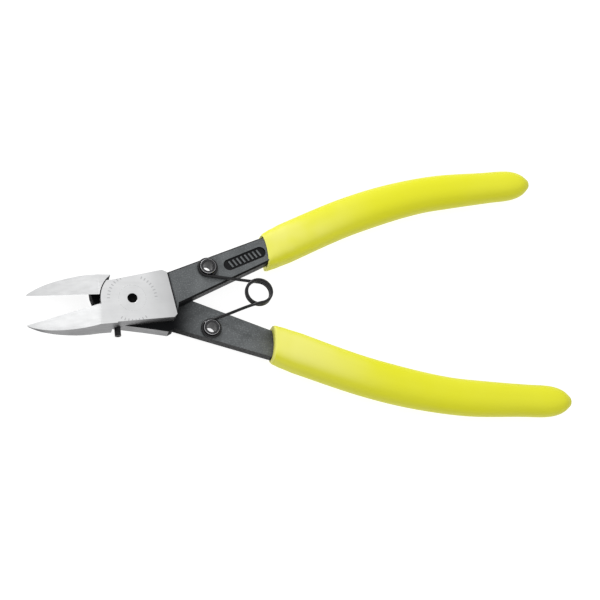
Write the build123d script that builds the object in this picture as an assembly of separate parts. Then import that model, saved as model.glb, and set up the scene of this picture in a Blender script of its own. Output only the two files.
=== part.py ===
from build123d import *
import math
import os

os.makedirs("parts", exist_ok=True)

# Spring-opened diagonal cutting pliers. Units are millimetres.
# The frame's origin is on the pivot axis, at the head's flat back face.
# +X runs along the bisector of the handles, the jaws point to -X, +Z is the front of the head.
# The front lever carries the lower jaw and the upper handle, the back lever the other two.

# Head and lap joint
HEAD_THICKNESS = 8.8
LAP_GAP = 0.06
CHEEK_RADIUS = 9.8
SHOULDER_GAP = 0.35
FACE_RELIEF = 0.3
FAR = 200.0
MID = HEAD_THICKNESS / 2
LAP_FRONT = MID + LAP_GAP / 2
CHEEK_SOUTH = -7.7
CHEEK_EAST_X = 13.6
HANDLE_START_X = 10.3
# The outer edge of each cheek: its Y where it leaves the west arc, its bulge, and its corner's X
FRONT_EDGE = (6.2, 0.0, 11.5)
BACK_EDGE = (6.8, 0.5, 12.6)

# Jaws
JAW_START_X = -10.3
TIP_X = -31.9
OPEN_HALF_ANGLE = 8.5
CLOSED_EDGE_GAP = 0.03
TIP_THICKNESS = 0.5
UNDERCUT_ANGLE = 25.0

# Handles and the tangs inside the grips
HANDLE_END_X = 46.0
OUTER_LINE = (4.33, 0.355)
INNER_LINE = (-8.77, 0.446)
HANDLE_FRONT = HEAD_THICKNESS - FACE_RELIEF
EDGE_CHAMFER = 0.5
PANEL_START = (31.9, 10.45)
PANEL_LENGTH = 15.0
PANEL_WIDTH = 3.8
PANEL_DEPTH = 0.4
PANEL_ANGLE = 21.3
PANEL_RIBS = 8
RIB_PITCH = 1.45
RIB_SIZE = (0.6, 2.4, 0.28)
RIB_LEAN = 12
FIRST_RIB = 0.4
HANDLE_SHOULDER_X = 14.3
TANG_THICKNESS = 3.6
TANG_CORNER = 0.6
TANG_START_Z = LAP_FRONT + TANG_THICKNESS / 2

# Grips: the centre line in plan, and (distance along it, half width)
GRIP_LINE = [(38.9, 13.4), (49.9, 18.2), (75.3, 28.6), (100.7, 35.6), (126.2, 38.5), (142.6, 39.75)]
GRIP_SECTIONS = [(0, 6.0), (5, 6.2), (11, 6.4), (38, 6.4), (66, 5.95), (93, 5.4), (104, 4.4)]
GRIP_TIP = [(2.2, 3.5), (0.7, 2.4), (0.0, 1.3)]
GRIP_FLATNESS = 0.8
GRIP_CORNER = 0.78
MOUTH_POINT = (43.8, 15.2)
MOUTH_ANGLE = 6.0

# Pivot rivet
RIVET_RADIUS = 3.0
RIVET_HEAD_RADIUS = 4.3
RIVET_HEAD_DEPTH = 1.3
RIVET_RUNNING_GAP = 0.05
DIMPLE_RADIUS = 1.6
DIMPLE_FLOOR_RADIUS = 0.5
DIMPLE_DEPTH = 0.9

# Spring posts and spring
POST_X = 24.65
POST_Y = 9.54
POST_BORE_RADIUS = 1.66
POST_RADIUS = 2.1
POST_RIM_RADIUS = 2.5
POST_RIM_THICKNESS = 0.5
POST_CLEAR_HEIGHT = 1.2
WIRE_RADIUS = 0.48
EYE_RADIUS = 2.82
COIL_X = 39.9
COIL_RADIUS = 3.96
COIL_PITCH = 1.08
COIL_WHOLE_TURNS = 2
COIL_CUT_ANGLE = 12.0
COIL_RISE = 0.2
EYE_ARC = 325.0
WIRE_SEAT_GAP = 0.05

# Opening-stop screw
STOP_X = -4.5
STOP_Z = 2.15
STOP_RADIUS = 1.0
STOP_INNER_Y = -4.4
STOP_OUTER_Y = -10.1
STOP_SOCKET_RADIUS = 0.5
STOP_SOCKET_DEPTH = 1.2


def plan_face(points):
    """A flat face in the XY plane with straight sides."""
    return make_face(Polyline(*points, close=True))


def prism(face, low, high):
    """The face extruded along Z between two heights."""
    return extrude(Pos(0, 0, low) * face, amount=high - low, dir=(0, 0, 1))


def half_space(point, normal):
    """A large block on the side of a plane that its normal points to."""
    return Plane(origin=point, z_dir=normal) * Box(FAR, FAR, FAR, align=(Align.CENTER, Align.CENTER, Align.MIN))


def turned_over(shape):
    """The shape turned half a turn about the X axis of the head's middle plane."""
    return Pos(0, 0, MID) * Rot(180, 0, 0) * Pos(0, 0, -MID) * shape


def on_line(line, x):
    return line[0] + line[1] * x


def west_x(y):
    return -math.sqrt(CHEEK_RADIUS**2 - y**2)


def cheek_face(edge):
    """The ground pad round the pivot, with its west side an arc about the pivot."""
    north_y, bulge, corner_x = edge
    north = (west_x(north_y), north_y)
    south = (west_x(CHEEK_SOUTH), CHEEK_SOUTH)
    corner = (corner_x, on_line(OUTER_LINE, corner_x) + 0.8 * bulge)
    west = ThreePointArc(north, (-CHEEK_RADIUS, 0), south)
    rest = Polyline(
        south, (3.3, -7.2), (CHEEK_EAST_X - 0.9, -6.7), (CHEEK_EAST_X, -5.7), ((corner_x + CHEEK_EAST_X) / 2, 1.5),
        corner, (corner_x - 1.5, 9.2 + 1.5 * bulge), (4.6, 8.2 + bulge), (-5.7, north_y + 0.15), north,
    )
    return make_face(Curve() + [west, rest])


def handle_solid():
    """The flat handle from the cheek to just inside the grip, with bevelled outer edges."""
    outer_start = (HANDLE_START_X, on_line(OUTER_LINE, HANDLE_START_X))
    outer_end = (HANDLE_END_X - 2.0, on_line(OUTER_LINE, HANDLE_END_X - 2.0))
    inner_end = (HANDLE_END_X, on_line(INNER_LINE, HANDLE_END_X))
    inner_start = (HANDLE_SHOULDER_X, on_line(INNER_LINE, HANDLE_SHOULDER_X))
    outline = plan_face([outer_start, outer_end, inner_end, inner_start, (CHEEK_EAST_X, -5.7), (8.0, -4.0), (6.0, 6.0)])
    solid = prism(outline, LAP_FRONT, HANDLE_FRONT)
    long_edges = solid.edges().group_by(Axis.Z)[-1].sort_by(SortBy.LENGTH)[-2:]
    return chamfer(long_edges, EDGE_CHAMFER)


def grip_axis():
    return Spline(*GRIP_LINE)


def section_plane(axis, distance, height):
    """A plane across the grip's centre line, at a distance along it."""
    origin = axis.position_at(distance, position_mode=PositionMode.LENGTH)
    along = axis.tangent_at(distance, position_mode=PositionMode.LENGTH)
    across = Vector(-along.Y, along.X, 0)
    return Plane(origin=(origin.X, origin.Y, height), x_dir=across, z_dir=along)


def tang_solid():
    """The tang inside the grip, which bends from the front half to the middle plane."""
    axis = grip_axis()
    stations = [(5.0, 3.4, TANG_START_Z), (9.0, 3.4, TANG_START_Z), (20.0, 3.6, MID), (50.0, 3.6, MID), (92.0, 2.6, MID)]
    sections = []
    for distance, half_width, height in stations:
        plane = section_plane(axis, distance, height)
        sections.append(plane * RectangleRounded(2 * half_width, TANG_THICKNESS, TANG_CORNER))
    return loft(sections, ruled=True)


def panel_cut():
    """The shallow stadium recess in the handle's outer face, with a row of ribs left standing."""
    place = Pos(PANEL_START[0], PANEL_START[1], HANDLE_FRONT - PANEL_DEPTH) * Rot(0, 0, PANEL_ANGLE)
    recess = extrude(Pos(PANEL_LENGTH / 2 - PANEL_WIDTH / 2, 0) * SlotOverall(PANEL_LENGTH, PANEL_WIDTH), 1.0)
    for index in range(PANEL_RIBS):
        rib = Box(*RIB_SIZE, align=(Align.CENTER, Align.CENTER, Align.MIN))
        recess -= Pos((index + FIRST_RIB) * RIB_PITCH, 0, 0) * Rot(0, 0, RIB_LEAN) * rib
    return place * recess


def lever_plate(edge):
    """Front-half cheek, handle and tang, before the jaw and the pivot hole."""
    body = prism(cheek_face(edge), LAP_FRONT, HEAD_THICKNESS)
    body += handle_solid()
    body += tang_solid()
    body -= panel_cut()
    post_hole = Pos(POST_X, POST_Y, MID) * Cylinder(POST_RADIUS, FAR)
    return body - post_hole


def jaw_solid():
    """The lower jaw: its front face slopes down to the tip, and its inner wall is undercut."""
    edge_slope = math.tan(math.radians(OPEN_HALF_ANGLE))
    throat = Vector(JAW_START_X, JAW_START_X * edge_slope - CLOSED_EDGE_GAP, HEAD_THICKNESS)
    tip = Vector(TIP_X, TIP_X * edge_slope - CLOSED_EDGE_GAP, TIP_THICKNESS)
    tip_outer = (TIP_X + 0.3, tip.Y - 0.5)
    outer = Spline(tip_outer, (-28.0, -6.9), (-21.5, -8.25), (-15.6, -8.6), (-10.2, -8.2))
    rest = Polyline(
        (-10.2, -8.2), (west_x(CHEEK_SOUTH) + 1.0, CHEEK_SOUTH - 0.25), (-5.0, -4.0), (-6.5, 0.5),
        (TIP_X, tip.Y + 2.0), (TIP_X, tip.Y - 0.1), tip_outer,
    )
    jaw = prism(make_face(Curve() + [outer, rest]), 0, HEAD_THICKNESS)
    face_slope = (HEAD_THICKNESS - TIP_THICKNESS) / (JAW_START_X - TIP_X)
    jaw -= half_space(throat, (-face_slope, 0, 1))
    back_and_down = Vector(0, -math.sin(math.radians(UNDERCUT_ANGLE)), -math.cos(math.radians(UNDERCUT_ANGLE)))
    jaw -= half_space(throat, back_and_down.cross(tip - throat))
    return jaw


def shoulder_cut(low, high):
    """The room that one lever's cheek needs in the other lever's jaw."""
    return prism(Circle(CHEEK_RADIUS + SHOULDER_GAP), low, high)


def rivet_solid(gap=0.0):
    """A shank with a conical head flush in each face. With a gap, it is the hole that it turns in."""
    shank = RIVET_RADIUS + gap
    head = RIVET_HEAD_RADIUS + gap
    profile = Polyline(
        (0, 0), (head, 0), (shank, RIVET_HEAD_DEPTH), (shank, HEAD_THICKNESS - RIVET_HEAD_DEPTH),
        (head, HEAD_THICKNESS), (0, HEAD_THICKNESS), close=True,
    )
    return revolve(make_face(Plane.XZ * profile), Axis.Z)


def pivot_rivet():
    dimple = Pos(0, 0, HEAD_THICKNESS) * Rot(180, 0, 0) * Cone(
        DIMPLE_RADIUS, DIMPLE_FLOOR_RADIUS, DIMPLE_DEPTH, align=(Align.CENTER, Align.CENTER, Align.MIN)
    )
    return rivet_solid() - dimple


def front_lever():
    """Lower jaw, front cheek and upper handle in one forging."""
    jaw = jaw_solid() - shoulder_cut(-1, LAP_FRONT)
    return lever_plate(FRONT_EDGE) + jaw - rivet_solid()


def stop_bore():
    length = STOP_INNER_Y - STOP_OUTER_Y
    return Pos(STOP_X, STOP_OUTER_Y + length / 2, STOP_Z) * Rot(90, 0, 0) * Cylinder(STOP_RADIUS, length)


def back_lever():
    """Upper jaw, back cheek with its closing heel, and lower handle in one forging."""
    jaw = mirror(jaw_solid(), about=Plane.XZ) - shoulder_cut(HEAD_THICKNESS - LAP_FRONT, HEAD_THICKNESS + 1)
    heel = plan_face([(-8.0, 0.0), (-10.8, 0.0), (-11.6, 0.7), (-12.3, 3.2), (-12.5, 6.5), (-7.0, 6.5)])
    lever = turned_over(lever_plate(BACK_EDGE)) + jaw
    lever += prism(heel, 0, HEAD_THICKNESS - LAP_FRONT)
    return lever - rivet_solid(RIVET_RUNNING_GAP) - stop_bore()


def stop_screw():
    socket = Pos(STOP_X, STOP_OUTER_Y, STOP_Z) * Rot(90, 0, 0) * extrude(
        RegularPolygon(STOP_SOCKET_RADIUS, 6), STOP_SOCKET_DEPTH, both=True
    )
    return stop_bore() - socket


def post(base, seat):
    """A hollow rivet set in a handle, standing above the seat on its front with a rim at the top."""
    rim = seat + POST_CLEAR_HEIGHT
    top = rim + POST_RIM_THICKNESS
    shank = prism(Circle(POST_RADIUS), base, top)
    collar = prism(Circle(POST_RIM_RADIUS), rim, top)
    return shank + collar - prism(Circle(POST_BORE_RADIUS), base - 1, top + 1)


def grip():
    """The dipped sleeve over the upper tang."""
    axis = grip_axis()
    length = axis.length
    stations = GRIP_SECTIONS + [(length - inset, half_width) for inset, half_width in GRIP_TIP]
    sections = []
    for distance, half_width in stations:
        plane = section_plane(axis, distance, MID)
        half_height = GRIP_FLATNESS * half_width
        sections.append(plane * RectangleRounded(2 * half_width, 2 * half_height, GRIP_CORNER * half_height))
    sleeve = loft(sections)
    angle = math.radians(MOUTH_ANGLE)
    return sleeve - half_space((*MOUTH_POINT, MID), (-math.cos(angle), -math.sin(angle), 0))


def spring_arm(side, seat, coil_base):
    """Half of the torsion spring: an eye round a post, a leg and half of the coil.

    side is 1 for the upper arm with the coil's lower turns, and -1 for the lower arm with the rest.
    """
    reach = math.hypot(COIL_X - POST_X, POST_Y)
    bearing = math.degrees(math.atan2(-POST_Y, COIL_X - POST_X))
    leg_angle = bearing + math.degrees(math.asin((EYE_RADIUS + COIL_RADIUS) / reach))
    coil_entry = leg_angle + 90
    coil_angle = 2 * coil_entry + 360 * COIL_WHOLE_TURNS
    half_angle = (coil_angle - COIL_CUT_ANGLE) / 2
    skipped = 0 if side > 0 else coil_angle - half_angle

    eye_z = seat + WIRE_RADIUS + WIRE_SEAT_GAP
    eye_centre = Vector(POST_X, side * POST_Y, eye_z)
    eye_exit = leg_angle - 90
    eye_start = eye_exit - EYE_ARC if side > 0 else -eye_exit
    eye = CenterArc(eye_centre, EYE_RADIUS, eye_start, EYE_ARC)

    turns = Helix(COIL_PITCH, COIL_PITCH * half_angle / 360, COIL_RADIUS, lefthand=True)
    turns_z = coil_base + COIL_PITCH * skipped / 360
    turns = Pos(COIL_X, 0, turns_z) * Rot(0, 0, coil_entry - skipped) * turns

    entry_z = coil_base if side > 0 else coil_base + COIL_PITCH * coil_angle / 360
    exit_point = eye_centre + EYE_RADIUS * plan_direction(eye_exit, side)
    entry_point = Vector(COIL_X, 0, entry_z) + COIL_RADIUS * plan_direction(coil_entry, side)
    coil_rise = Vector(0, 0, side * COIL_PITCH / (2 * math.pi * COIL_RADIUS))
    along = plan_direction(leg_angle, side)
    leg = Spline(exit_point, entry_point, tangents=[along, along + coil_rise])

    path = Wire([eye.edge(), leg.edge(), turns.edge()])
    return sweep(Plane(origin=path @ 0, z_dir=path % 0) * Circle(WIRE_RADIUS), path=path)


def plan_direction(angle, side):
    """A unit vector in plan at an angle, mirrored across the X axis when side is -1."""
    return Vector(math.cos(math.radians(angle)), side * math.sin(math.radians(angle)), 0)


coil_base = HANDLE_FRONT + WIRE_RADIUS + COIL_RISE
back_seat = HEAD_THICKNESS - LAP_FRONT
front = front_lever()
back = back_lever()
solids = {
    "front_lever": front,
    "back_lever": back,
    "pivot_rivet": pivot_rivet(),
    "stop_screw": stop_screw(),
    "upper_spring_post": Pos(POST_X, POST_Y) * post(LAP_FRONT, HANDLE_FRONT),
    "lower_spring_post": Pos(POST_X, -POST_Y) * post(FACE_RELIEF, back_seat),
    "spring_upper_arm": spring_arm(1, HANDLE_FRONT, coil_base),
    "spring_lower_arm": spring_arm(-1, back_seat, coil_base),
    "upper_grip": grip() - front,
    "lower_grip": turned_over(grip()) - back,
}
for name, solid in solids.items():
    export_step(solid, f"parts/{name}.step")
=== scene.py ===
"""Looks of the spring-opened diagonal cutting pliers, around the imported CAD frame.

Lengths are in millimetres until a mesh is made; MM turns them into Blender's metres.
The row frame's origin is on the pivot axis at the head's back face, +Z comes out of the front of the head.
"""
import math

import bmesh
import bpy
from mathutils import Matrix, Vector


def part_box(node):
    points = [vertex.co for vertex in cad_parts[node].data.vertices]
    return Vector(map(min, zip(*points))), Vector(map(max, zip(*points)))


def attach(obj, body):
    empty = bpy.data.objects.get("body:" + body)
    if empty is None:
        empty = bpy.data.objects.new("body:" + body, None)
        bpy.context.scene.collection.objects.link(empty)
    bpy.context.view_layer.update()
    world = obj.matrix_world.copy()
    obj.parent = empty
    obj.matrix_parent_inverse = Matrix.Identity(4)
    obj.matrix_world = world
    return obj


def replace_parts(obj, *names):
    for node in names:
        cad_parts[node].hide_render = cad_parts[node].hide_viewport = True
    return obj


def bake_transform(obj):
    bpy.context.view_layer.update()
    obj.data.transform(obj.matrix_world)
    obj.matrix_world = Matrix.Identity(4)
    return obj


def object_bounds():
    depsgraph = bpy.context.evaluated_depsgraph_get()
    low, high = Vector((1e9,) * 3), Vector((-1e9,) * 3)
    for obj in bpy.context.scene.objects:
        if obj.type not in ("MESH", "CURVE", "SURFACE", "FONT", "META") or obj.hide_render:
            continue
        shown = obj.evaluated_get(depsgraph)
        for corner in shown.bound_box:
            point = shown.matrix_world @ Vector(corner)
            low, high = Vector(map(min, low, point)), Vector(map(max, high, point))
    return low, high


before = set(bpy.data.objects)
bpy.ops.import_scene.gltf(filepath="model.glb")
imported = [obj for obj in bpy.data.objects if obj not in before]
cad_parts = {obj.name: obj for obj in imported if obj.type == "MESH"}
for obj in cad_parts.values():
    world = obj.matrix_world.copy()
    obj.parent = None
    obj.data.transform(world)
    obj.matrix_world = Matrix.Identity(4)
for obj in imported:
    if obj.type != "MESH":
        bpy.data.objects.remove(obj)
cad_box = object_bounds()

MM = 0.001

# Head, from the frame where it can be read there
HEAD_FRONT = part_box("pivot_rivet")[1].z / MM
MID = HEAD_FRONT / 2
HANDLE_RELIEF = 0.3
HANDLE_FRONT = HEAD_FRONT - HANDLE_RELIEF
CHEEK_RADIUS = 9.8
CHEEK_LEAN = 0.15
CHEEK_EDGE = 12.74
DIMPLE_EDGE = 1.55
POST_RIM_RADIUS = 2.3

# Which faces of the levers are which: flat faces, the lap's faces, the black heel and the recessed panel
FLAT_NORMAL = 0.75
LAP_HEIGHT = 0.15
HEEL_X = -8
HEEL_Y = (-0.5, 4.6)
PANEL_DEPTHS = (0.2, 0.45)
PANEL_X = (30, 46)
PANEL_Y = (9, 17)

# Rounded edges
LEVER_BEVEL = 0.12
RIVET_BEVEL = 0.04
POST_BEVEL = 0.12
SCREW_BEVEL = 0.1

# Camera
CAMERA_TARGET = (54.8, -0.8, MID)
CAMERA_DISTANCE = 438.2
CAMERA_TILT = 25.4
CAMERA_BEARING = -127.5
CAMERA_ROLL = -7.43
CAMERA_LENS = 81.32

# Grip: centre line in plan, (distance along it, half width), and the mouth. The mouth's rings, from inside
# to outside, are (distance, half width, half height, squareness, share of the tang's lift)
GRIP_LINE = [(38.9, 13.4), (49.9, 18.2), (75.3, 28.6), (100.7, 35.6), (126.2, 38.5), (142.6, 39.75)]
GRIP_WIDTHS = [(0, 5.7), (1.0, 5.85), (4, 6.15), (9, 6.4), (38, 6.35), (66, 5.95), (90, 5.3)]
GRIP_FLATNESS = 0.8
GRIP_ROUNDNESS = 2.35
UPPER_MOUTH_X = 44.5
LOWER_MOUTH_X = 43.6
MOUTH_ANGLE = 6.0
MOUTH_BLEND = 14.0
MOUTH_SAG = 0.5
SAG_FADE = 3
MOUTH_RINGS = [
    (1.6, 4.3, 1.9, 6.0, 1),
    (0.30, 4.5, 2.12, 6.0, 1),
    (0.02, 4.9, 2.75, 4.2, 0.75),
    (-0.05, 5.4, 3.7, 3.6, 0.35),
]
TIP_LENGTH = 13.0
TIP_RINGS = 26
NUB = 0.5
BODY_RINGS = 90
RIM_RINGS = 5
SECTION_POINTS = 56

# Spring
POST_X = 24.65
POST_Y = 9.54
WIRE_RADIUS = 0.48
EYE_RADIUS = 2.82
EYE_ARC = 325.0
COIL_X = 39.9
COIL_RADIUS = 3.96
COIL_PITCH = 1.08
COIL_WHOLE_TURNS = 2
COIL_RISE = 0.2
EYE_CLEARANCE = 0.05
LAP_RELIEF = 0.03
COIL_BASE = HANDLE_FRONT + WIRE_RADIUS + COIL_RISE
UPPER_EYE_Z = HANDLE_FRONT + WIRE_RADIUS + EYE_CLEARANCE
LOWER_EYE_Z = MID - LAP_RELIEF + WIRE_RADIUS + EYE_CLEARANCE
WIRE_SIDES = 20
COIL_STEPS = 150
EYE_STEPS = 60
LEG_STEPS = 30

# Light and floor. The key light's place, target and size and the floor's half width are in metres
ZENITH = 1.0
HORIZON = 0.32
SKY_TOP = 0.9
FLOOR_GLOW = 0.86
FLOOR_HALF = 8.0
FLOOR_GAP = 0.02
KEY_PLACE = (-0.16, 0.60, 0.42)
KEY_TARGET = (0.05, 0, 0)
KEY_SIZE = 0.16
KEY_POWER = 2.4

# How much painted shade darkens the ground steel on the flat head, at the head's handle side and on the
# upper jaw, and where the jaws' sides go dark towards their tips
FLAT_SHADE = 0.15
HEAD_SHADE = 0.24
JAW_SHADE = 0.13
TIP_SHADE_X = -24.0
SHADE_STEEL = (0.12, 0.12, 0.125)
STAMP_STEEL = (0.34, 0.34, 0.35)
SHADE_OXIDE = (0.004, 0.004, 0.005)

# Where the painted shade and painted highlight change: along x or y, across the seam behind the cheek, or
# by height from the middle
JAW_START = (-11.5, -9)
HEAD_FADE = (3, 14)
UPPER_HALF = (-1, 1)
TIP_FADE = 5
CROTCH = (12, 24)
SEAM = (12.9, 13.8)
SEAM_SHADE = 0.95
CROWN_HIGHLIGHT_HEIGHTS = (3.6, 5.0)
CROWN_HIGHLIGHT_FADE = (48, 84)
EDGE_SHADE_HEIGHTS = (1.4, 4.0)

# Generic ticks about the pivot: inner and outer radius, their number round the circle and the broken arcs
TICK_INNER = 6.9
TICK_OUTER = 7.9
TICKS = 41
TICK_ARCS = 3


# ---------------------------------------------------------------- materials

class Nodes:
    """A material being built: short calls that add and link shader nodes."""

    def __init__(self, name):
        self.material = bpy.data.materials.new(name)
        self.material.use_nodes = True
        self.tree = self.material.node_tree
        self.shader = self.tree.nodes["Principled BSDF"]
        self.place = self.add("ShaderNodeTexCoord").outputs["Object"]

    def add(self, kind, **settings):
        node = self.tree.nodes.new(kind)
        for key, value in settings.items():
            setattr(node, key, value)
        return node

    def link(self, source, target):
        self.tree.links.new(source, target)

    def constants(self, **values):
        for key, value in values.items():
            self.shader.inputs[key.replace("_", " ")].default_value = value

    def noise(self, scale, detail=3.0, stretch=(1, 1, 1), turn=0.0):
        mapping = self.add("ShaderNodeMapping")
        mapping.inputs["Rotation"].default_value = (0, 0, turn)
        mapping.inputs["Scale"].default_value = stretch
        self.link(self.place, mapping.inputs["Vector"])
        noise = self.add("ShaderNodeTexNoise")
        noise.inputs["Scale"].default_value = scale
        noise.inputs["Detail"].default_value = detail
        self.link(mapping.outputs["Vector"], noise.inputs["Vector"])
        return noise.outputs["Fac"]

    def ramp(self, factor, stops):
        ramp = self.add("ShaderNodeValToRGB")
        elements = ramp.color_ramp.elements
        while len(elements) < len(stops):
            elements.new(0.5)
        for element, (position, colour) in zip(elements, stops):
            element.position = position
            element.color = (*colour, 1)
        self.link(factor, ramp.inputs["Fac"])
        return ramp.outputs["Color"]

    def span(self, value, low, high, out_low, out_high):
        spread = self.add("ShaderNodeMapRange", interpolation_type="SMOOTHSTEP")
        sockets = ("From Min", "From Max", "To Min", "To Max")
        for key, number in zip(sockets, (low, high, out_low, out_high)):
            spread.inputs[key].default_value = number
        self.link(value, spread.inputs["Value"])
        return spread.outputs["Result"]

    def axes(self):
        """The x, y and z of the place in the row frame, in metres."""
        split = self.add("ShaderNodeSeparateXYZ")
        self.link(self.place, split.inputs[0])
        return split.outputs

    def along(self, axis, low, high, out_low, out_high):
        """A smooth step between two places on an axis of the row frame, in millimetres."""
        return self.span(self.axes()[axis], low * MM, high * MM, out_low, out_high)

    def maths(self, operation, first, second=None):
        node = self.add("ShaderNodeMath", operation=operation)
        for socket, value in zip(node.inputs, (first, second)):
            if value is None:
                continue
            if isinstance(value, (int, float)):
                socket.default_value = value
            else:
                self.link(value, socket)
        return node.outputs[0]

    def mix(self, factor, first, second):
        node = self.add("ShaderNodeMix", data_type="RGBA")
        self.link(factor, node.inputs["Factor"])
        for socket, value in ((node.inputs[6], first), (node.inputs[7], second)):
            if isinstance(value, tuple):
                socket.default_value = (*value, 1)
            else:
                self.link(value, socket)
        return node.outputs[2]

    def bump(self, height, distance, strength=1.0, under=None):
        node = self.add("ShaderNodeBump")
        node.inputs["Distance"].default_value = distance
        node.inputs["Strength"].default_value = strength
        self.link(height, node.inputs["Height"])
        if under is not None:
            self.link(under, node.inputs["Normal"])
        return node.outputs["Normal"]

    def finish(self, colour=None, roughness=None, normal=None):
        for key, value in (("Base Color", colour), ("Roughness", roughness), ("Normal", normal)):
            if value is not None:
                self.link(value, self.shader.inputs[key])
        return self.material


def stamp_mask(m):
    """1 in a broken ring of short ticks about the pivot on the head's front, else 0."""
    x, y, z = m.axes()
    radius = m.maths("SQRT", m.maths("ADD", m.maths("MULTIPLY", x, x), m.maths("MULTIPLY", y, y)))
    ring_low = m.span(radius, TICK_INNER * MM, (TICK_INNER + 0.1) * MM, 0, 1)
    ring_high = m.span(radius, (TICK_OUTER - 0.1) * MM, TICK_OUTER * MM, 1, 0)
    angle = m.maths("ARCTAN2", y, x)
    ticks = m.span(m.maths("SINE", m.maths("MULTIPLY", angle, TICKS)), 0.4, 0.7, 0, 1)
    gaps = m.span(m.maths("SINE", m.maths("MULTIPLY", angle, TICK_ARCS)), -0.35, -0.2, 0, 1)
    front = m.span(z, (HEAD_FRONT - 0.05) * MM, (HEAD_FRONT - 0.04) * MM, 0, 1)
    ring = m.maths("MULTIPLY", m.maths("MULTIPLY", ring_low, ring_high), m.maths("MULTIPLY", ticks, gaps))
    return m.maths("MULTIPLY", ring, front)


def ground_steel(name, stamped, dull, bright, tip_shade=0.0):
    """Bright steel with fine grinding lines across the head, and faint generic tick marks if stamped;
    painted shade darkens it on the flat head, at the head's handle side and on the upper jaw.

    tip_shade is how much painted shade darkens it towards the jaws' tips.
    """
    m = Nodes(name)
    m.constants(Metallic=1.0)
    cloud = m.noise(180, 4)
    colour = m.ramp(cloud, [(0.3, dull), (0.7, bright)])
    # Painted shade: darker on the flat head, at the head's handle side, on the upper jaw and on the jaws'
    # sides towards their tips
    shade = m.maths("ADD", m.along(0, *JAW_START, 0, FLAT_SHADE), m.along(0, *HEAD_FADE, 0, HEAD_SHADE))
    tip = m.along(0, TIP_SHADE_X - TIP_FADE, TIP_SHADE_X, tip_shade, 0)
    back_jaw = m.maths("MULTIPLY", m.along(0, *JAW_START, JAW_SHADE, 0), m.along(1, *UPPER_HALF, 0, 1))
    shade = m.maths("ADD", shade, m.maths("ADD", tip, back_jaw))
    colour = m.mix(shade, colour, SHADE_STEEL)
    lines = m.noise(900, 2, stretch=(0.12, 2.2, 1), turn=math.radians(8))
    roughness = m.span(lines, 0.3, 0.7, 0.34, 0.46)
    normal = m.bump(lines, 0.012 * MM, 0.6)
    if stamped:
        colour = m.mix(m.maths("MULTIPLY", stamp_mask(m), 0.6), colour, STAMP_STEEL)
    return m.finish(colour, roughness, normal)


def black_oxide(name, dark, light, specular):
    """Dark grey-black coated steel with the orange peel of a forged skin, with painted shade making it
    blackest and least glossy beside the cheeks and where the back lever runs under the front one.
    """
    m = Nodes(name)
    peel = m.noise(1500, 4)
    mottle = m.noise(160, 5)
    specks = m.noise(2600, 2)
    colour = m.ramp(mottle, [(0.3, dark), (0.7, light)])
    colour = m.mix(m.span(specks, 0.5, 0.7, 0, 0.35), colour, tuple(2.4 * c for c in light))
    # Painted shade: near-black and less glossy where the back lever runs under the front one near the
    # head, and in a band along the seam behind the cheek
    below = m.along(2, MID, MID + 0.3, 1, 0)
    crotch_shade = m.maths("MULTIPLY", m.along(0, *CROTCH, SEAM_SHADE, 0), below)
    x, y, _ = m.axes()
    from_cheek = m.maths("ADD", x, m.maths("MULTIPLY", y, CHEEK_LEAN))
    seam_shade = m.span(from_cheek, SEAM[0] * MM, SEAM[1] * MM, SEAM_SHADE, 0)
    above = m.maths("SUBTRACT", 1.0, below)
    shade = m.maths("MAXIMUM", crotch_shade, m.maths("MULTIPLY", seam_shade, above))
    colour = m.mix(shade, colour, SHADE_OXIDE)
    shine = m.maths("MULTIPLY", m.maths("SUBTRACT", 1.0, shade), specular)
    m.link(shine, m.shader.inputs["Specular IOR Level"])
    roughness = m.span(peel, 0.3, 0.7, 0.36, 0.56)
    normal = m.bump(peel, 0.07 * MM, 0.7)
    return m.finish(colour, roughness, normal)


def dark_metal(name, colour, roughness, metallic, specular=0.35):
    """Oiled dark steel for the spring, the posts and the screw."""
    m = Nodes(name)
    m.constants(Metallic=metallic, Specular_IOR_Level=specular)
    spots = m.noise(1500, 3)
    lighter = tuple(1.6 * c for c in colour)
    tint = m.ramp(spots, [(0.35, colour), (0.75, lighter)])
    rough = m.span(spots, 0.3, 0.7, roughness, roughness + 0.12)
    return m.finish(tint, rough, m.bump(spots, 0.01 * MM, 0.4))


def grip_vinyl(name, colour, pale):
    """Soft dipped vinyl: saturated, faintly clouded, with a waxy skin, a painted highlight on the crown
    near the mouth and painted shade along the sides.
    """
    m = Nodes(name)
    m.constants(Specular_IOR_Level=0.28, Coat_Weight=0.05, Coat_Roughness=0.3)
    cloud = m.noise(45, 3)
    fine = m.noise(1400, 3)
    # Painted highlight: paler on the grip's crown near the mouth, over a faint paler clouding all along
    height = m.maths("ABSOLUTE", m.maths("SUBTRACT", m.axes()[2], MID * MM))
    top = m.span(height, CROWN_HIGHLIGHT_HEIGHTS[0] * MM, CROWN_HIGHLIGHT_HEIGHTS[1] * MM, 0.1, 0.6)
    crown_highlight_and_cloud = m.maths("ADD", m.maths("MULTIPLY", top, m.along(0, *CROWN_HIGHLIGHT_FADE, 1, 0)), 0.06)
    tint = m.mix(m.maths("MULTIPLY", crown_highlight_and_cloud, m.span(cloud, 0.3, 0.6, 0.2, 1)), colour, pale)
    # Painted shade: darker along the grip's sides, towards its middle height
    edge_shade = m.span(height, EDGE_SHADE_HEIGHTS[0] * MM, EDGE_SHADE_HEIGHTS[1] * MM, 0.45, 0)
    tint = m.mix(edge_shade, tint, tuple(0.6 * c for c in colour))
    roughness = m.span(fine, 0.3, 0.7, 0.42, 0.52)
    normal = m.bump(fine, 0.02 * MM, 0.35, under=m.bump(cloud, 0.25 * MM, 0.25))
    return m.finish(tint, roughness, normal)


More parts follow.
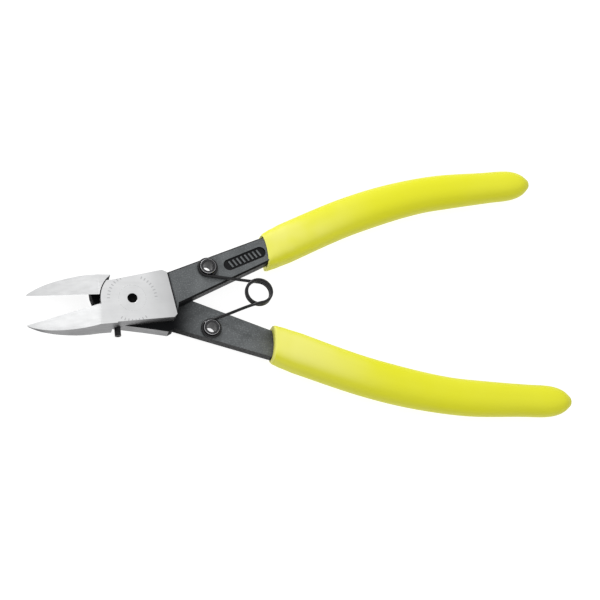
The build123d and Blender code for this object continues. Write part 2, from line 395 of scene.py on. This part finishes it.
STEEL = ground_steel("ground_steel", True, (0.735, 0.74, 0.745), (0.81, 0.815, 0.82))
RIVET_STEEL = ground_steel("rivet_steel", False, (0.735, 0.74, 0.745), (0.80, 0.805, 0.81))
# A darker copy of the ground steel for the levers' sides: painted shade
SHADED_SIDE_STEEL = ground_steel("shaded_side_steel", False, (0.23, 0.23, 0.235), (0.29, 0.29, 0.295), 0.85)
OXIDE = black_oxide("black_oxide", (0.068, 0.074, 0.077), (0.115, 0.123, 0.127), 0.4)
# A near-black copy of the black oxide for the levers' sides, shoulders, heel and recessed panel: painted
# shade
SHADED_SIDE_OXIDE = black_oxide("black_oxide_shaded_side", (0.003, 0.003, 0.004), (0.006, 0.006, 0.007), 0.15)
# Near-black and unreflective: painted shade in the rivet's hollow
PAINTED_HOLLOW_SHADE = dark_metal("painted_shade_hollow", (0.002, 0.002, 0.002), 0.6, 0.0, 0.05)
SPRING = dark_metal("spring_wire", (0.010, 0.010, 0.011), 0.22, 0.2)
POST = dark_metal("post_steel", (0.028, 0.028, 0.03), 0.3, 0.5)
# A lighter metal for the posts' top rims, which show as a thin bright ring
BRIGHT_RIM = dark_metal("bright_rim", (0.42, 0.42, 0.43), 0.28, 1.0)
VINYL = grip_vinyl("grip_vinyl", (0.755, 0.75, 0.007), (0.88, 0.85, 0.26))
RIM = grip_vinyl("grip_rim", (0.82, 0.80, 0.14), (0.86, 0.84, 0.24))


# ---------------------------------------------------------------- bevelled steel parts


def new_piece(name, verts, faces, materials, face_slots=None, smooth_angle=30.0):
    """A mesh object in the row frame, with its materials, smooth below an angle."""
    mesh = bpy.data.meshes.new(name)
    mesh.from_pydata([tuple(v) for v in verts], [], faces)
    for material in materials:
        mesh.materials.append(material)
    if face_slots:
        mesh.polygons.foreach_set("material_index", face_slots)
    mesh.shade_smooth()
    mesh.set_sharp_from_angle(angle=math.radians(smooth_angle))
    piece = bpy.data.objects.new(name, mesh)
    bpy.context.scene.collection.objects.link(piece)
    return piece


def bevelled_copy(node, name, materials, choose, bevel, segments=2):
    """A copy of a CAD node with flat faces joined up and its sharp edges rounded.

    choose(centre, normal) gives each face's index in materials, in millimetres.
    """
    work = bmesh.new()
    work.from_mesh(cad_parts[node].data)
    bmesh.ops.remove_doubles(work, verts=work.verts, dist=0.002 * MM)
    bmesh.ops.dissolve_limit(
        work, angle_limit=math.radians(1.0), verts=work.verts, edges=work.edges,
        use_dissolve_boundaries=False,
    )
    sharp = [e for e in work.edges if e.is_manifold and e.calc_face_angle(0) > math.radians(28)]
    bmesh.ops.bevel(
        work, geom=sharp, offset=bevel * MM, offset_type="OFFSET", segments=segments, profile=0.5,
        affect="EDGES", clamp_overlap=True, material=-1, loop_slide=True,
    )
    work.normal_update()
    for face in work.faces:
        face.material_index = choose(face.calc_center_median() / MM, face.normal)
    verts = [v.co.copy() for v in work.verts]
    faces = [[v.index for v in f.verts] for f in work.faces]
    slots = [f.material_index for f in work.faces]
    work.free()
    return level_shading(new_piece(name, verts, faces, materials, slots))


def level_shading(piece):
    """Lets the large flat faces set the normals at their borders, so that they shade flat."""
    weigh = piece.modifiers.new("weigh", "WEIGHTED_NORMAL")
    weigh.keep_sharp = True
    weigh.weight = 90
    seen = piece.evaluated_get(bpy.context.evaluated_depsgraph_get())
    mesh = bpy.data.meshes.new_from_object(seen)
    piece.modifiers.clear()
    piece.data = mesh
    return piece


def lever_choice(front):
    """Which of a lever's four materials a face has: bright face, bright side, black face or black side;
    the side materials are darker copies, painted shade.
    """
    side = 1 if front else -1
    bright, shaded_bright_side, black, shaded_black_side = range(4)

    def choose(centre, normal):
        height = side * (centre.z - MID)
        y = side * centre.y
        flat = abs(normal.z) > FLAT_NORMAL
        lap = flat and abs(height) < LAP_HEIGHT
        handle = centre.x > CHEEK_EDGE - CHEEK_LEAN * y
        radius = math.hypot(centre.x, centre.y)
        radial = (centre.x * normal.x + centre.y * normal.y) / max(radius, 0.001)
        shoulder = radius < CHEEK_RADIUS + 0.3 and radial < -0.6 and centre.x < 0
        in_heel = centre.x < HEEL_X and HEEL_Y[0] < centre.y < HEEL_Y[1]
        heel = not front and centre.z < MID and in_heel and normal.x < -0.2
        below_face = HANDLE_FRONT - MID - height
        in_panel = PANEL_X[0] < centre.x < PANEL_X[1] and PANEL_Y[0] < y < PANEL_Y[1]
        panel = PANEL_DEPTHS[0] < below_face < PANEL_DEPTHS[1] and in_panel
        # The shoulders, the heel and the recessed panel take the near-black side copy, painted shade
        if shoulder or heel or panel:
            return shaded_black_side
        if handle or lap:
            return black if flat else shaded_black_side
        return bright if flat else shaded_bright_side

    return choose


def levers():
    face_materials = [STEEL, SHADED_SIDE_STEEL, OXIDE, SHADED_SIDE_OXIDE]
    for node, body, front in (("front_lever", "front_half", True), ("back_lever", "back_half", False)):
        piece = bevelled_copy(node, node + "_finished", face_materials, lever_choice(front), LEVER_BEVEL)
        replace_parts(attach(piece, body), node)


def small_steel():
    def in_dimple(centre, normal):
        return int(math.hypot(centre.x, centre.y) < DIMPLE_EDGE and 0.1 < HEAD_FRONT - centre.z < 2)

    face_materials = [RIVET_STEEL, PAINTED_HOLLOW_SHADE]
    rivet = bevelled_copy("pivot_rivet", "pivot_rivet_finished", face_materials, in_dimple, RIVET_BEVEL)
    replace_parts(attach(rivet, "front_half"), "pivot_rivet")

    for node, body in (("upper_spring_post", "front_half"), ("lower_spring_post", "back_half")):
        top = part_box(node)[1].z / MM

        def on_rim(centre, normal, top=top):
            from_post = math.hypot(centre.x - POST_X, abs(centre.y) - POST_Y)
            return int(centre.z > top - 0.2 and from_post > POST_RIM_RADIUS)

        post = bevelled_copy(node, node + "_finished", [POST, BRIGHT_RIM], on_rim, POST_BEVEL, 3)
        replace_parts(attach(post, body), node)

    screw = bevelled_copy("stop_screw", "stop_screw_finished", [POST], lambda *face: 0, SCREW_BEVEL)
    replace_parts(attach(screw, "back_half"), "stop_screw")


# ---------------------------------------------------------------- curves


def smooth_line(points, steps):
    """A Catmull-Rom line through the points, as Vectors."""
    points = [Vector(p) for p in points]
    padded = [2 * points[0] - points[1]] + points + [2 * points[-1] - points[-2]]
    line = []
    for a, b, c, d in zip(padded, padded[1:], padded[2:], padded[3:]):
        for i in range(steps):
            t = i / steps
            square, cube = 2 * a - 5 * b + 4 * c - d, 3 * b - a - 3 * c + d
            line.append(0.5 * (2 * b + (c - a) * t + square * t**2 + cube * t**3))
    return line + [points[-1]]


def distances(line):
    """The distance along a line at each of its points."""
    total = [0.0]
    for a, b in zip(line, line[1:]):
        total.append(total[-1] + (b - a).length)
    return total


def value_at(table, x):
    """Smooth interpolation in a list of (x, value) pairs."""
    if x <= table[0][0]:
        return table[0][1]
    for (x0, v0), (x1, v1) in zip(table, table[1:]):
        if x <= x1:
            t = (x - x0) / (x1 - x0)
            return v0 + (v1 - v0) * t * t * (3 - 2 * t)
    return table[-1][1]


# ---------------------------------------------------------------- grips


def superellipse(angle, half_width, half_height, power):
    c, s = math.cos(angle), math.sin(angle)
    return (
        half_width * math.copysign(abs(c) ** (2 / power), c),
        half_height * math.copysign(abs(s) ** (2 / power), s),
    )


def grip_rings(side):
    """Cross-sections from inside the mouth to the tip: a list of rings of points, in millimetres."""
    mouth_x = UPPER_MOUTH_X if side > 0 else LOWER_MOUTH_X
    line = smooth_line([(x, y, 0) for x, y in GRIP_LINE], 24)
    along = distances(line)
    mouth = min(range(len(line)), key=lambda i: abs(line[i].x - mouth_x))
    length = along[-1] - along[mouth]
    mouth_angle = math.radians(MOUTH_ANGLE)
    mouth_normal = Vector((math.cos(mouth_angle), math.sin(mouth_angle), 0))
    rings = []

    def ring(distance, half_width, half_height, power, lift=0.0):
        target = along[mouth] + distance
        last = len(line) - 1
        i = max(1, min(last, next((k for k, d in enumerate(along) if d >= target), last)))
        t = (target - along[i - 1]) / (along[i] - along[i - 1])
        centre = line[i - 1].lerp(line[i], t)
        tangent = (line[i] - line[i - 1]).normalized()
        blend = min(1.0, max(0.0, distance / MOUTH_BLEND))
        normal = mouth_normal.lerp(tangent, blend).normalized()
        across = Vector((-normal.y, normal.x, 0))
        points = []
        for k in range(SECTION_POINTS):
            u, v = superellipse(2 * math.pi * k / SECTION_POINTS, half_width, half_height, power)
            sag = MOUTH_SAG * math.exp(-max(distance, 0) / SAG_FADE) * (1 - (u / half_width) ** 2)
            p = centre + across * u + normal * sag
            points.append(Vector((p.x, side * p.y, MID + side * (v + lift))))
        rings.append(points)

    tang_lift = (HANDLE_FRONT - MID) / 2
    for *shape, share in MOUTH_RINGS:
        ring(*shape, share * tang_lift)
    body_length = length - TIP_LENGTH
    for i in range(BODY_RINGS + 1):
        distance = body_length * (i / BODY_RINGS) ** 1.15
        half = value_at(GRIP_WIDTHS, distance)
        rounding = 1 - 0.05 * math.exp(-(distance / 0.4) ** 2)
        power = GRIP_ROUNDNESS + 1.65 * math.exp(-distance / 5)
        ring(distance, half * rounding, GRIP_FLATNESS * half * rounding, power)
    end = value_at(GRIP_WIDTHS, body_length)
    for i in range(1, TIP_RINGS + 1):
        part = i / TIP_RINGS
        left = TIP_LENGTH * (1 - part) ** 2
        half = end * (1 - (1 - left / TIP_LENGTH) ** 3) ** 0.6 + NUB * math.exp(-((left / 0.7) ** 2))
        ring(length - left, half, (GRIP_FLATNESS + 0.1 * part) * half, GRIP_ROUNDNESS - 0.3 * part)
    return rings


def grip(side, node, body, name):
    rings = grip_rings(side)
    count = SECTION_POINTS
    verts = [p * MM for points in rings for p in points]
    faces, slots = [], []
    for r in range(len(rings) - 1):
        for k in range(count):
            a, b = r * count + k, r * count + (k + 1) % count
            quad = [a, b, b + count, a + count]
            faces.append(quad)
            slots.append(1 if r < RIM_RINGS else 0)
    faces.append(list(range(count))[::-1])
    slots.append(0)
    faces.append([(len(rings) - 1) * count + k for k in range(count)])
    slots.append(0)
    piece = outward(new_piece(name, verts, faces, [VINYL, RIM], slots, 70))
    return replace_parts(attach(piece, body), node)


def outward(piece):
    """Makes the piece's faces point outwards."""
    work = bmesh.new()
    work.from_mesh(piece.data)
    bmesh.ops.recalc_face_normals(work, faces=work.faces)
    work.to_mesh(piece.data)
    work.free()
    return piece


# ---------------------------------------------------------------- spring


def wire(name, points):
    """A round wire along a line, with flat ends."""
    sides = WIRE_SIDES
    verts, faces, tangents = [], [], []
    for i in range(len(points)):
        tangents.append((points[min(i + 1, len(points) - 1)] - points[max(i - 1, 0)]).normalized())
    up = Vector((0, 0, 1))
    first = tangents[0].cross(up).normalized()
    for i, (point, tangent) in enumerate(zip(points, tangents)):
        first = (first - tangent * first.dot(tangent)).normalized()
        second = tangent.cross(first)
        for k in range(sides):
            a = 2 * math.pi * k / sides
            verts.append((point + WIRE_RADIUS * (math.cos(a) * first + math.sin(a) * second)) * MM)
    for r in range(len(points) - 1):
        for k in range(sides):
            a, b = r * sides + k, r * sides + (k + 1) % sides
            faces.append([a, b, b + sides, a + sides])
    faces.append(list(range(sides))[::-1])
    faces.append([(len(points) - 1) * sides + k for k in range(sides)])
    return outward(new_piece(name, verts, faces, [SPRING], None, 50))


def direction(angle, side):
    return Vector((math.cos(math.radians(angle)), side * math.sin(math.radians(angle)), 0))


def spring():
    reach = math.hypot(COIL_X - POST_X, POST_Y)
    bearing = math.degrees(math.atan2(-POST_Y, COIL_X - POST_X))
    leg_angle = bearing + math.degrees(math.asin((EYE_RADIUS + COIL_RADIUS) / reach))
    coil_entry = leg_angle + 90
    coil_angle = 2 * coil_entry + 360 * COIL_WHOLE_TURNS
    coil_top = COIL_BASE + COIL_PITCH * coil_angle / 360

    coil = []
    for i in range(COIL_STEPS + 1):
        turn = coil_angle * i / COIL_STEPS
        height = Vector((COIL_X, 0, COIL_BASE + COIL_PITCH * turn / 360))
        coil.append(height + COIL_RADIUS * direction(coil_entry - turn, 1))
    piece = wire("spring_coil", coil)
    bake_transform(piece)

    rise = COIL_PITCH / (2 * math.pi * COIL_RADIUS)
    for side, eye_z, entry_z, name, body in (
        (1, UPPER_EYE_Z, COIL_BASE, "spring_upper_leg", "spring_upper"),
        (-1, LOWER_EYE_Z, coil_top, "spring_lower_leg", "spring_lower"),
    ):
        centre = Vector((POST_X, side * POST_Y, eye_z))
        eye_exit = leg_angle - 90
        points = []
        for i in range(EYE_STEPS):
            points.append(centre + EYE_RADIUS * direction(eye_exit - EYE_ARC * (1 - i / EYE_STEPS), side))
        start = centre + EYE_RADIUS * direction(eye_exit, side)
        end = Vector((COIL_X, 0, entry_z)) + COIL_RADIUS * direction(coil_entry, side)
        span = (end - start).length
        leave = direction(leg_angle, side) * span
        arrive = (direction(leg_angle, side) + Vector((0, 0, side * rise))) * span
        for i in range(LEG_STEPS + 1):
            t = i / LEG_STEPS
            h00, h10 = 2 * t**3 - 3 * t**2 + 1, t**3 - 2 * t**2 + t
            h01, h11 = -2 * t**3 + 3 * t**2, t**3 - t**2
            points.append(h00 * start + h10 * leave + h01 * end + h11 * arrive)
        leg = wire(name, points)
        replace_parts(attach(leg, body), "spring_upper_arm" if side > 0 else "spring_lower_arm")


# ---------------------------------------------------------------- stage


def camera():
    tilt, bearing, roll = (math.radians(a) for a in (CAMERA_TILT, CAMERA_BEARING, CAMERA_ROLL))
    level_part = math.sin(tilt)
    towards = Vector((level_part * math.cos(bearing), level_part * math.sin(bearing), math.cos(tilt)))
    place = Vector(CAMERA_TARGET) + CAMERA_DISTANCE * towards
    level = (-towards).cross(Vector((0, 1, 0))).normalized()
    upright = level.cross(-towards)
    right = math.cos(roll) * level + math.sin(roll) * upright
    up = math.cos(roll) * upright - math.sin(roll) * level
    data = bpy.data.cameras.new("camera")
    data.lens = CAMERA_LENS
    data.sensor_width = 36.0
    data.clip_start = 0.01
    thing = bpy.data.objects.new("camera", data)
    bpy.context.scene.collection.objects.link(thing)
    basis = Matrix((right, up, towards)).transposed().to_4x4()
    thing.matrix_world = Matrix.Translation(place * MM) @ basis
    bpy.context.scene.camera = thing


def area_light(name, place, target, size, power):
    data = bpy.data.lights.new(name, "AREA")
    data.shape = "DISK"
    data.size = size
    data.energy = power
    thing = bpy.data.objects.new(name, data)
    bpy.context.scene.collection.objects.link(thing)
    thing.location = place
    thing.rotation_euler = (Vector(target) - Vector(place)).to_track_quat("-Z", "Y").to_euler()


def studio_world():
    """White surroundings, brighter overhead than at the horizon."""
    world = bpy.data.worlds.new("studio")
    world.use_nodes = True
    tree = world.node_tree
    place = tree.nodes.new("ShaderNodeTexCoord")
    split = tree.nodes.new("ShaderNodeSeparateXYZ")
    spread = tree.nodes.new("ShaderNodeMapRange")
    spread.inputs["From Min"].default_value = 0.0
    spread.inputs["From Max"].default_value = SKY_TOP
    spread.inputs["To Min"].default_value = HORIZON
    spread.inputs["To Max"].default_value = ZENITH
    tree.links.new(place.outputs["Generated"], split.inputs[0])
    tree.links.new(split.outputs["Z"], spread.inputs["Value"])
    tree.nodes["Background"].inputs["Color"].default_value = (1, 1, 1, 1)
    tree.links.new(spread.outputs["Result"], tree.nodes["Background"].inputs["Strength"])
    bpy.context.scene.world = world


def stage():
    floor_z = cad_box[0][2] - FLOOR_GAP * MM
    corners = ((-1, -1), (1, -1), (1, 1), (-1, 1))
    verts = [Vector((FLOOR_HALF * x, FLOOR_HALF * y, floor_z)) for x, y in corners]
    m = Nodes("floor")
    m.constants(Roughness=0.9, Specular_IOR_Level=0.1)
    m.constants(Emission_Color=(1, 1, 1, 1), Emission_Strength=FLOOR_GLOW)
    paint = m.ramp(m.noise(2), [(0, (0.29, 0.29, 0.29)), (1, (0.31, 0.31, 0.31))])
    floor = new_piece("floor", verts, [[0, 1, 2, 3]], [m.finish(paint)])
    studio_world()
    area_light("key", KEY_PLACE, KEY_TARGET, KEY_SIZE, KEY_POWER)
    bpy.context.scene.view_settings.view_transform = "Standard"


camera()
levers()
small_steel()
grip(1, "upper_grip", "front_half", "upper_grip_finished")
grip(-1, "lower_grip", "back_half", "lower_grip_finished")
spring()
stage()
